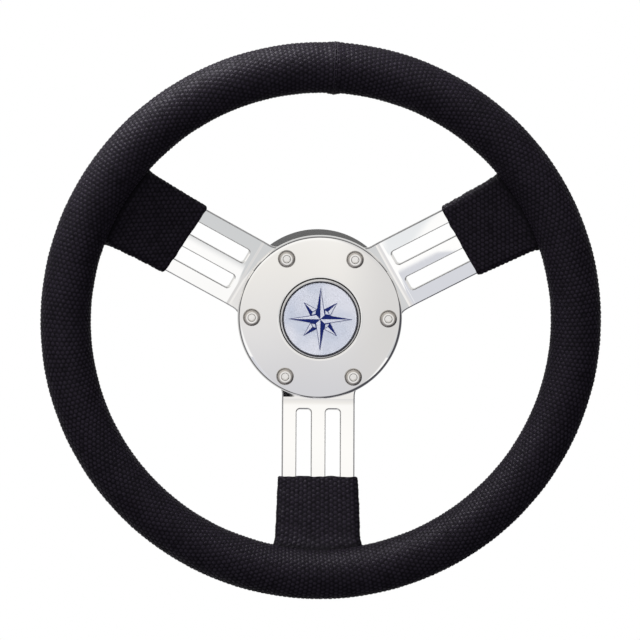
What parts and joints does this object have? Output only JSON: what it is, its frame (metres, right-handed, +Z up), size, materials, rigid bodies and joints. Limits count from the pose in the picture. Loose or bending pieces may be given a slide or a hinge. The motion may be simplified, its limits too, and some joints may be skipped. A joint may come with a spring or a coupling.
{
  "type": "boat steering wheel",
  "caption": "Boat steering wheel with slotted polished steel spokes, padded black rim, black taper hub and a screwed cap plate with a compass rose.",
  "frame": {"origin": "centre of the hub's back edge, on the axis of the helm's shaft", "axes": "+Y along the shaft towards the dash, so the driver looks along +Y; +Z up, with the single lower spoke pointing down; +X to the driver's right"},
  "size_m": [0.35, 0.0948, 0.35],
  "materials": {
    "steel_bar": "plain drawn bar, hidden inside the rim",
    "foam": "black moulded polyurethane foam, hidden under the cover",
    "cover": "black synthetic leather with a fine embossed hexagon grain and a soft sheen",
    "polished_steel": "mirror-polished stainless steel",
    "black_hub": "satin black coating on cast aluminium",
    "grey_plastic": "plain moulded spacer, hidden under the cap plate",
    "screw_steel": "turned stainless steel with a dull flank",
    "cap_metal": "polished bezel",
    "seal_rubber": "black nitrile rubber",
    "pearl_face": "pale pearl face under a glossy clear coat",
    "dark_print": "navy blue print",
    "light_print": "pale print in the light halves of the rose"
  },
  "bodies": {
    "root": {"rim_ring": "steel_bar", "rim_foam": "foam", "rim_cover": "cover", "spoke_cover_left": "cover", "spoke_cover_right": "cover", "spoke_cover_lower": "cover", "spider": "polished_steel", "hub": "black_hub", "cap_plate": "polished_steel", "support_ring": "grey_plastic", "cap_screws": "screw_steel", "centre_cap": "cap_metal", "cap_seal": "seal_rubber", "cap_disc": "pearl_face", "compass_rose": "dark_print", "compass_lights": "light_print"}
  },
  "joints": []
}
